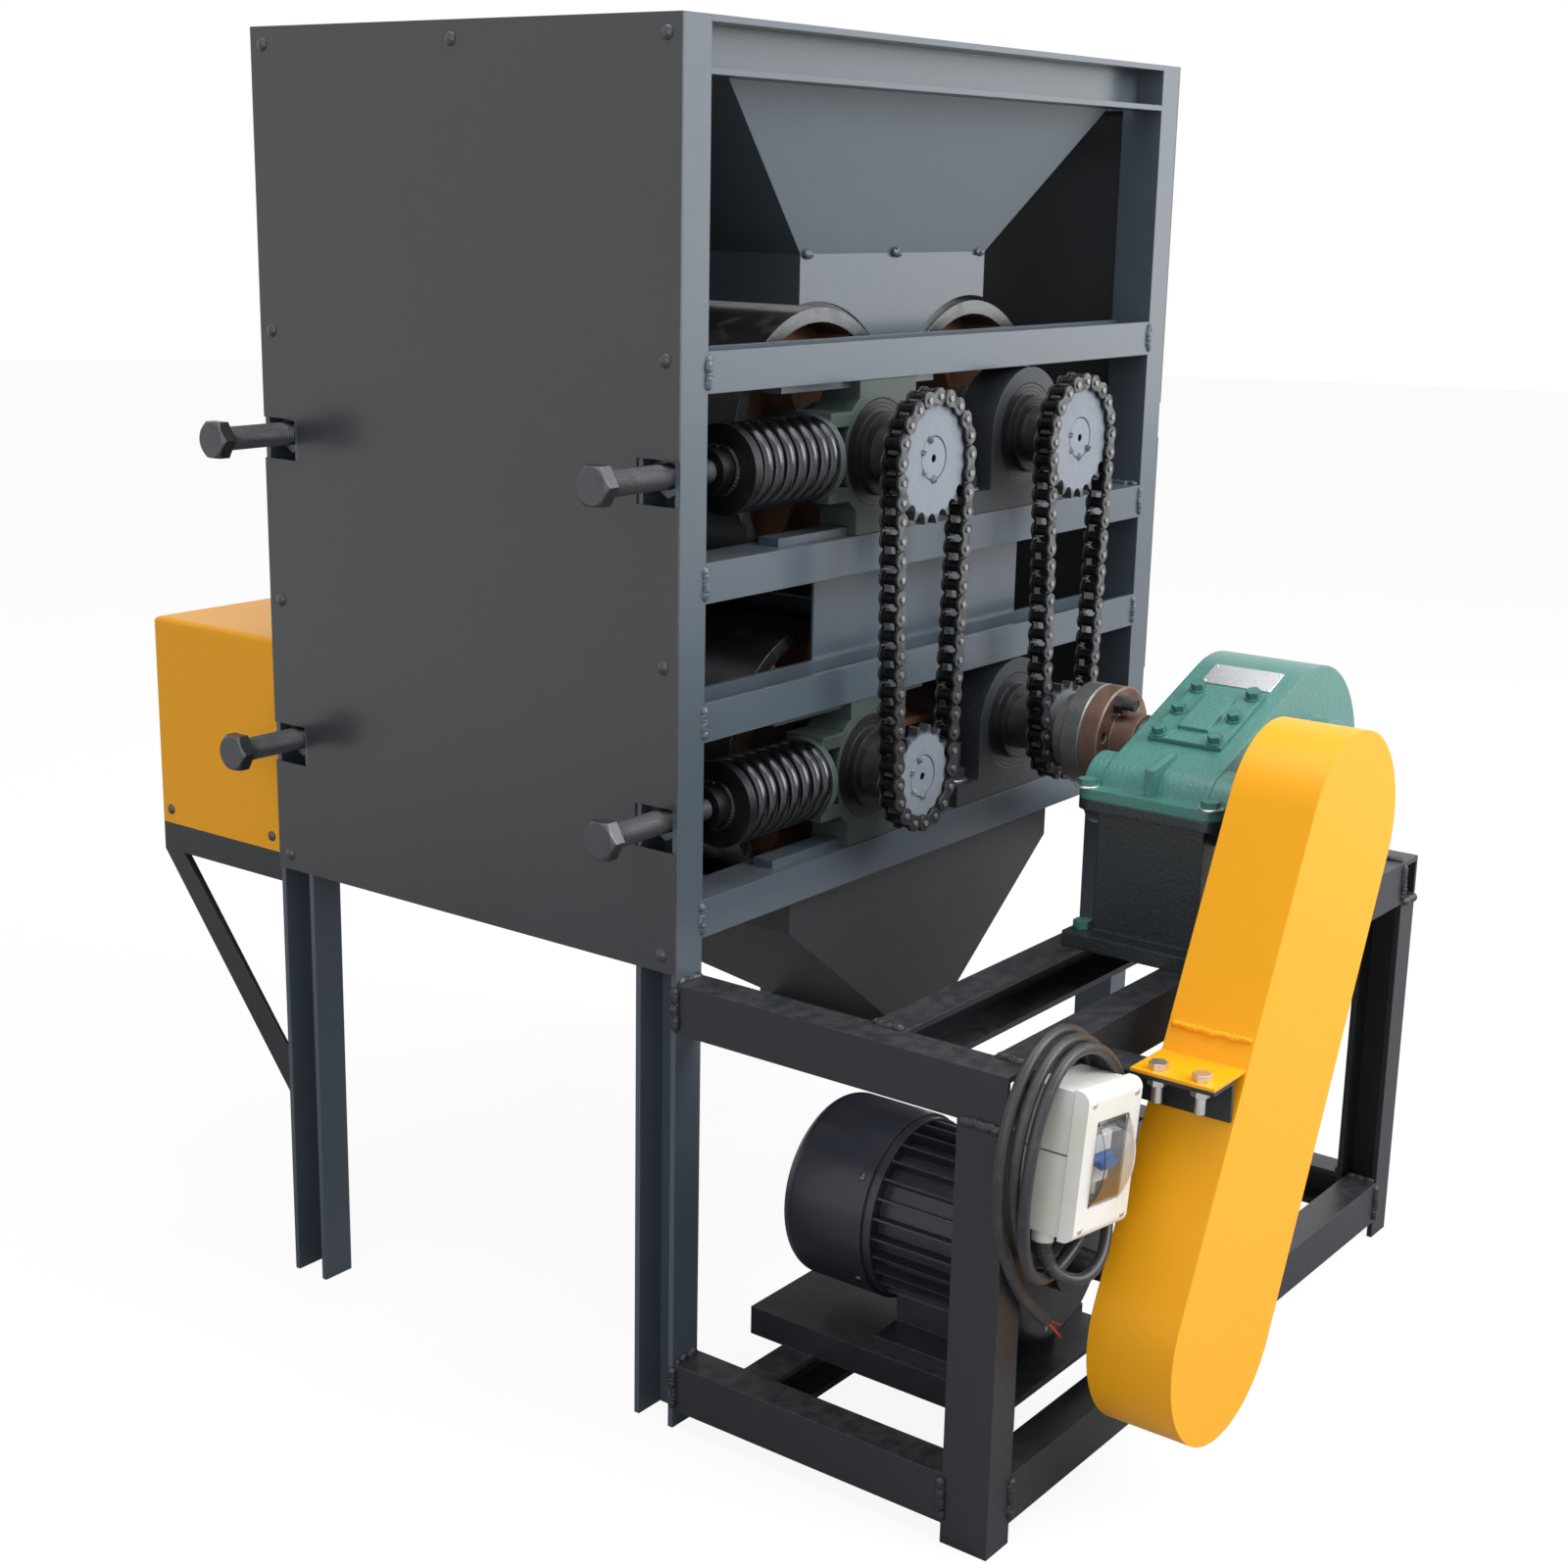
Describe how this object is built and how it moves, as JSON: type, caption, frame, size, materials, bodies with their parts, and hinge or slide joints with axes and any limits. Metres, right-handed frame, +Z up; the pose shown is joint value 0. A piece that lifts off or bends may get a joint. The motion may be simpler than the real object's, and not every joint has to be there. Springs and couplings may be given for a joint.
{
  "type": "roller grain mill",
  "caption": "Roller grain mill in a welded channel frame, with a feed hopper over stacked sprung roller pairs and a belt, gear reducer and chain drive.",
  "frame": {"origin": "middle of the base on the floor, measured without the power cable", "axes": "+X to the right seen from the drive side, +Y to the rear, +Z up"},
  "size_m": [0.999, 1.248, 1.346],
  "materials": {
    "frame_paint": "satin dark blue-grey paint",
    "orange_paint": "gloss orange-yellow paint",
    "green_paint": "gloss green paint",
    "black_paint": "satin black paint",
    "cast_iron": "painted casting",
    "roller_steel": "machined rim, primed inside",
    "sprocket_paint": "light blue-grey paint",
    "chain_steel": "oiled steel",
    "spring_steel": "dark gloss steel",
    "bolt_steel": "blackened steel",
    "shaft_steel": "bare turned steel",
    "pulley_iron": "bare casting",
    "rubber": "satin black",
    "white_plastic": "satin white",
    "blue_plastic": "satin blue",
    "clear_plastic": "clear tinted"
  },
  "bodies": {
    "frame": {"columns": "frame_paint", "tie_rails": "frame_paint", "bearing_beams": "frame_paint", "guide_rails": "frame_paint", "side_panels": "frame_paint", "panel_screws": "frame_paint", "feed_hopper": "frame_paint", "middle_chute": "frame_paint", "discharge_hopper": "frame_paint", "platform_frame": "frame_paint", "pillow_blocks": "cast_iron", "gear_brackets": "frame_paint", "gear_cover": "orange_paint", "gearbox_lower_case": "black_paint", "gearbox_upper_case": "green_paint", "gearbox_cover": "green_paint", "mounting_bolts": "bolt_steel", "drive_belts": "rubber", "belt_guard": "orange_paint", "motor_housing": "black_paint", "motor_fan_cover": "black_paint", "breaker_box": "white_plastic", "breaker_cover": "white_plastic", "breaker": "white_plastic", "cable_coil": "rubber", "cable_tail": "rubber", "left_chain": "chain_steel", "right_chain": "chain_steel"},
    "upper_adjuster": {"upper_spring_plates": "spring_steel", "upper_springs": "spring_steel"},
    "upper_front_bolt": {"upper_front_bolt": "bolt_steel"},
    "upper_rear_bolt": {"upper_rear_bolt": "bolt_steel"},
    "upper_carriage": {"upper_take_up_blocks": "cast_iron"},
    "upper_left_roller": {"upper_left_roller": "roller_steel", "upper_left_sprocket": "sprocket_paint"},
    "upper_right_roller": {"upper_right_roller": "roller_steel", "upper_right_sprocket": "sprocket_paint"},
    "lower_adjuster": {"lower_spring_plates": "spring_steel", "lower_springs": "spring_steel"},
    "lower_front_bolt": {"lower_front_bolt": "bolt_steel"},
    "lower_rear_bolt": {"lower_rear_bolt": "bolt_steel"},
    "lower_carriage": {"lower_take_up_blocks": "cast_iron"},
    "lower_left_roller": {"lower_left_roller": "roller_steel", "lower_left_sprocket": "sprocket_paint", "left_gear": "shaft_steel"},
    "lower_right_roller": {"lower_right_roller": "roller_steel", "lower_right_sprocket": "sprocket_paint", "right_gear": "shaft_steel", "coupling_roller_half": "shaft_steel", "coupling_gearbox_half": "shaft_steel", "coupling_bolts": "shaft_steel", "gearbox_output_shaft": "shaft_steel"},
    "right_idler": {"right_idler": "shaft_steel"},
    "left_idler": {"left_idler": "shaft_steel"},
    "gearbox_input": {"gearbox_input_shaft": "shaft_steel", "gearbox_pulley": "pulley_iron"},
    "motor_rotor": {"motor_shaft": "shaft_steel", "motor_pulley": "pulley_iron"},
    "breaker_toggle": {"breaker_toggle": "blue_plastic"},
    "breaker_window": {"breaker_window": "clear_plastic"}
  },
  "joints": [
    {"name": "lower_right_spin", "type": "hinge", "parent": "frame", "child": "lower_right_roller", "pos_m": [0.1945, 0.1475, 0.62238], "axis": [0, 1, 0], "continuous": true, "deforming": ["left_chain", "right_chain"]},
    {"name": "upper_right_spin", "type": "hinge", "parent": "frame", "child": "upper_right_roller", "pos_m": [0.1945, 0.1475, 0.946], "axis": [0, 1, 0], "continuous": true},
    {"name": "right_idler_spin", "type": "hinge", "parent": "frame", "child": "right_idler", "pos_m": [0.09964, 0.1475, 0.63891], "axis": [0, 1, 0], "continuous": true},
    {"name": "left_idler_spin", "type": "hinge", "parent": "frame", "child": "left_idler", "pos_m": [0.00336, 0.1475, 0.63891], "axis": [0, 1, 0], "continuous": true},
    {"name": "gearbox_input_spin", "type": "hinge", "parent": "frame", "child": "gearbox_input", "pos_m": [-0.0045, 0.1475, 0.62238], "axis": [0, 1, 0], "continuous": true},
    {"name": "motor_spin", "type": "hinge", "parent": "frame", "child": "motor_rotor", "pos_m": [-0.2045, 0.1475, 0.212], "axis": [0, 1, 0], "continuous": true},
    {"name": "upper_adjust", "type": "slide", "parent": "frame", "child": "upper_adjuster", "axis": [-1, 0, 0], "range_m": [0, 0.005], "deforming": ["left_chain"]},
    {"name": "upper_front_bolt_turn", "type": "hinge", "parent": "upper_adjuster", "child": "upper_front_bolt", "pos_m": [-0.3185, -0.106, 0.946], "axis": [-1, 0, 0], "range_deg": [0, 602]},
    {"name": "upper_rear_bolt_turn", "type": "hinge", "parent": "upper_adjuster", "child": "upper_rear_bolt", "pos_m": [-0.3185, 0.401, 0.946], "axis": [-1, 0, 0], "range_deg": [0, 602]},
    {"name": "upper_spring_slide", "type": "slide", "parent": "upper_adjuster", "child": "upper_carriage", "axis": [-1, 0, 0], "range_m": [0, 0.005], "stiffness_N_per_m": 343000, "deforming": ["upper_springs", "left_chain"]},
    {"name": "upper_left_spin", "type": "hinge", "parent": "upper_carriage", "child": "upper_left_roller", "pos_m": [-0.0915, 0.1475, 0.946], "axis": [0, 1, 0], "continuous": true},
    {"name": "lower_adjust", "type": "slide", "parent": "frame", "child": "lower_adjuster", "axis": [-1, 0, 0], "range_m": [0, 0.005], "deforming": ["left_chain"]},
    {"name": "lower_front_bolt_turn", "type": "hinge", "parent": "lower_adjuster", "child": "lower_front_bolt", "pos_m": [-0.3185, -0.106, 0.62238], "axis": [-1, 0, 0], "range_deg": [0, 602]},
    {"name": "lower_rear_bolt_turn", "type": "hinge", "parent": "lower_adjuster", "child": "lower_rear_bolt", "pos_m": [-0.3185, 0.401, 0.62238], "axis": [-1, 0, 0], "range_deg": [0, 602]},
    {"name": "lower_spring_slide", "type": "slide", "parent": "lower_adjuster", "child": "lower_carriage", "axis": [-1, 0, 0], "range_m": [0, 0.005], "stiffness_N_per_m": 343000, "deforming": ["lower_springs", "left_chain"]},
    {"name": "lower_left_spin", "type": "hinge", "parent": "lower_carriage", "child": "lower_left_roller", "pos_m": [-0.0915, 0.1475, 0.62238], "axis": [0, 1, 0], "continuous": true},
    {"name": "breaker_toggle_turn", "type": "hinge", "parent": "frame", "child": "breaker_toggle", "pos_m": [-0.3345, -0.553, 0.385], "axis": [0.9903, 0, -0.1392], "range_deg": [-40, 0]},
    {"name": "breaker_window_turn", "type": "hinge", "parent": "frame", "child": "breaker_window", "pos_m": [-0.32938, -0.562, 0.42144], "axis": [-0.9903, 0, 0.1392], "range_deg": [0, 85]}
  ],
  "couplings": [
    {"joint": "upper_right_spin", "follows": "lower_right_spin", "ratio": 0.8},
    {"joint": "right_idler_spin", "follows": "lower_right_spin", "ratio": -1},
    {"joint": "left_idler_spin", "follows": "lower_right_spin", "ratio": 1},
    {"joint": "gearbox_input_spin", "follows": "lower_right_spin", "ratio": 8.23},
    {"joint": "motor_spin", "follows": "lower_right_spin", "ratio": 9.1706},
    {"joint": "upper_front_bolt_turn", "follows": "upper_adjust", "rad_per_m": 2094.4},
    {"joint": "upper_rear_bolt_turn", "follows": "upper_adjust", "rad_per_m": 2094.4},
    {"joint": "upper_left_spin", "follows": "lower_right_spin", "ratio": -0.8},
    {"joint": "lower_front_bolt_turn", "follows": "lower_adjust", "rad_per_m": 2094.4},
    {"joint": "lower_rear_bolt_turn", "follows": "lower_adjust", "rad_per_m": 2094.4},
    {"joint": "lower_left_spin", "follows": "lower_right_spin", "ratio": -1}
  ]
}
